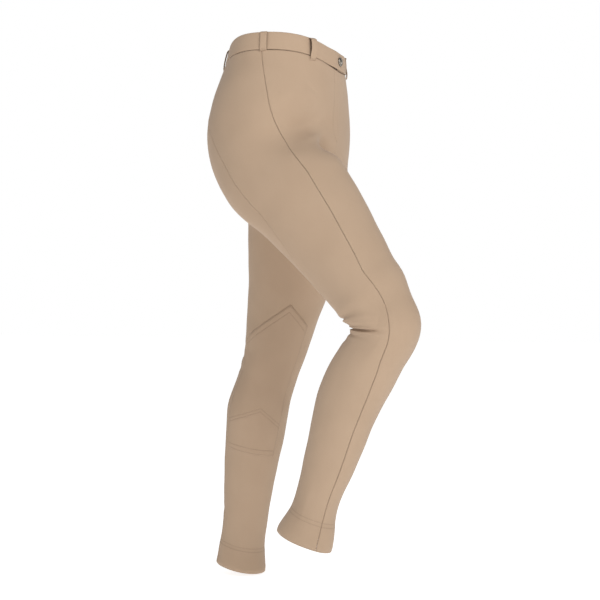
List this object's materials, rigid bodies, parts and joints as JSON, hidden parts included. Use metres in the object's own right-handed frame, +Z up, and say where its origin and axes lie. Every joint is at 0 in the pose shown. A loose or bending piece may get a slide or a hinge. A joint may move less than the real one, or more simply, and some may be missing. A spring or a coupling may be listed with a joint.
{
  "type": "riding jodhpurs",
  "caption": "Women's stretch riding jodhpurs held in the shape and stride of wear, with a snapped waistband, belt loops, riding seams and inner knee patches.",
  "frame": {"origin": "middle of the waist opening, level with the top of the waistband at the wearer's right side", "axes": "+Z up out of the waist, front faces -Y, wearer's right is -X"},
  "size_m": [0.3604, 0.5168, 1.0127],
  "materials": {
    "cloth": "beige brushed stretch cotton knit, matt",
    "patch_cloth": "beige brushed self cloth, matt",
    "snap_metal": "antique silver, softly polished",
    "zip_tape": "beige woven tape with a moulded chain"
  },
  "bodies": {
    "root": {"front_right": "cloth", "front_left": "cloth", "back_right": "cloth", "back_left": "cloth", "waistband": "cloth", "knee_patch_right": "patch_cloth", "knee_patch_left": "patch_cloth", "belt_loop_front_right": "cloth", "belt_loop_side_right": "cloth", "belt_loop_back_right": "cloth", "belt_loop_back_left": "cloth", "belt_loop_side_left": "cloth", "belt_loop_front_left": "cloth", "snap": "snap_metal", "fly_zip": "zip_tape", "zip_slider": "snap_metal"}
  },
  "joints": []
}
